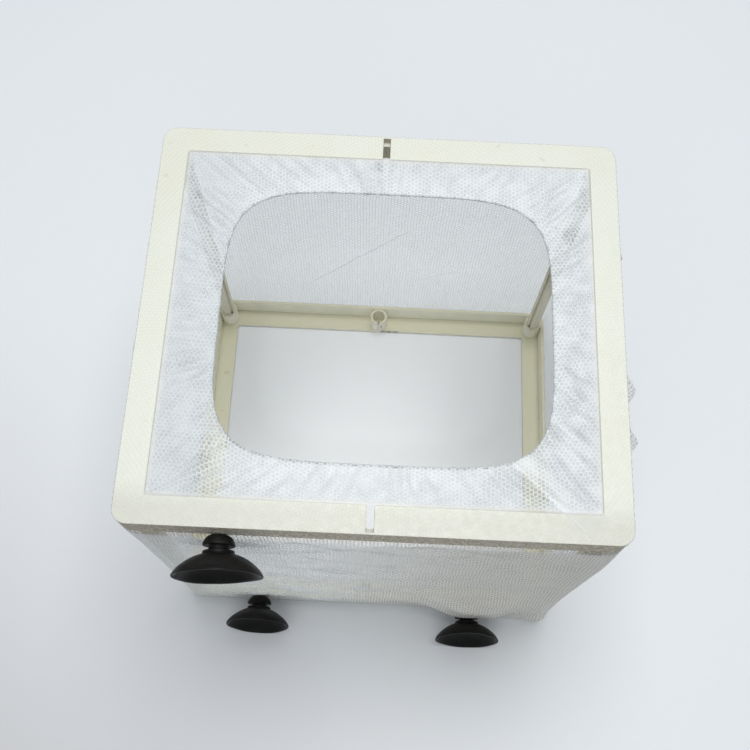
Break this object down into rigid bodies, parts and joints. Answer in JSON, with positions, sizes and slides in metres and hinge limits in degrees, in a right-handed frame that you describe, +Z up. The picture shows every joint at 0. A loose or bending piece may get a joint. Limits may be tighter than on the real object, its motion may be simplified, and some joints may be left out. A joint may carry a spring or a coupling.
{
  "type": "fish breeding box",
  "caption": "Open-topped net breeding box: moulded rims joined by round posts, a fine net bag with an elastic mouth, and black suction cups on pegs at the front.",
  "frame": {"origin": "on the base plane, under the centre of the rims", "axes": "+X to the right, +Y to the back (the suction cups face -Y), +Z up out of the mouth"},
  "size_m": [0.165, 0.1646, 0.1637],
  "materials": {
    "frame_plastic": "cream moulded plastic, satin",
    "net": "fine white tulle net with hexagonal holes",
    "elastic": "thin grey covered elastic cord",
    "cup_rubber": "black soft rubber, slightly satin"
  },
  "bodies": {
    "box": {"top_frame": "frame_plastic", "bottom_frame": "frame_plastic", "post_front_left": "frame_plastic", "post_front_right": "frame_plastic", "post_back_left": "frame_plastic", "post_back_right": "frame_plastic", "net_base": "net", "net_front": "net", "net_back": "net", "net_left": "net", "net_right": "net", "net_collar": "net", "net_skirt_front": "net", "net_skirt_back": "net", "net_skirt_left": "net", "net_skirt_right": "net", "mouth_elastic": "elastic"},
    "cup_top_left": {"suction_cup_top_left": "cup_rubber"},
    "cup_bottom_left": {"suction_cup_bottom_left": "cup_rubber"},
    "cup_bottom_right": {"suction_cup_bottom_right": "cup_rubber"}
  },
  "joints": [
    {"name": "pull_cup_top_left", "type": "slide", "parent": "box", "child": "cup_top_left", "axis": [0, -1, 0], "range_m": [0, 0.012]},
    {"name": "pull_cup_bottom_left", "type": "slide", "parent": "box", "child": "cup_bottom_left", "axis": [0, -1, 0], "range_m": [0, 0.012]},
    {"name": "pull_cup_bottom_right", "type": "slide", "parent": "box", "child": "cup_bottom_right", "axis": [0, -1, 0], "range_m": [0, 0.012]}
  ]
}
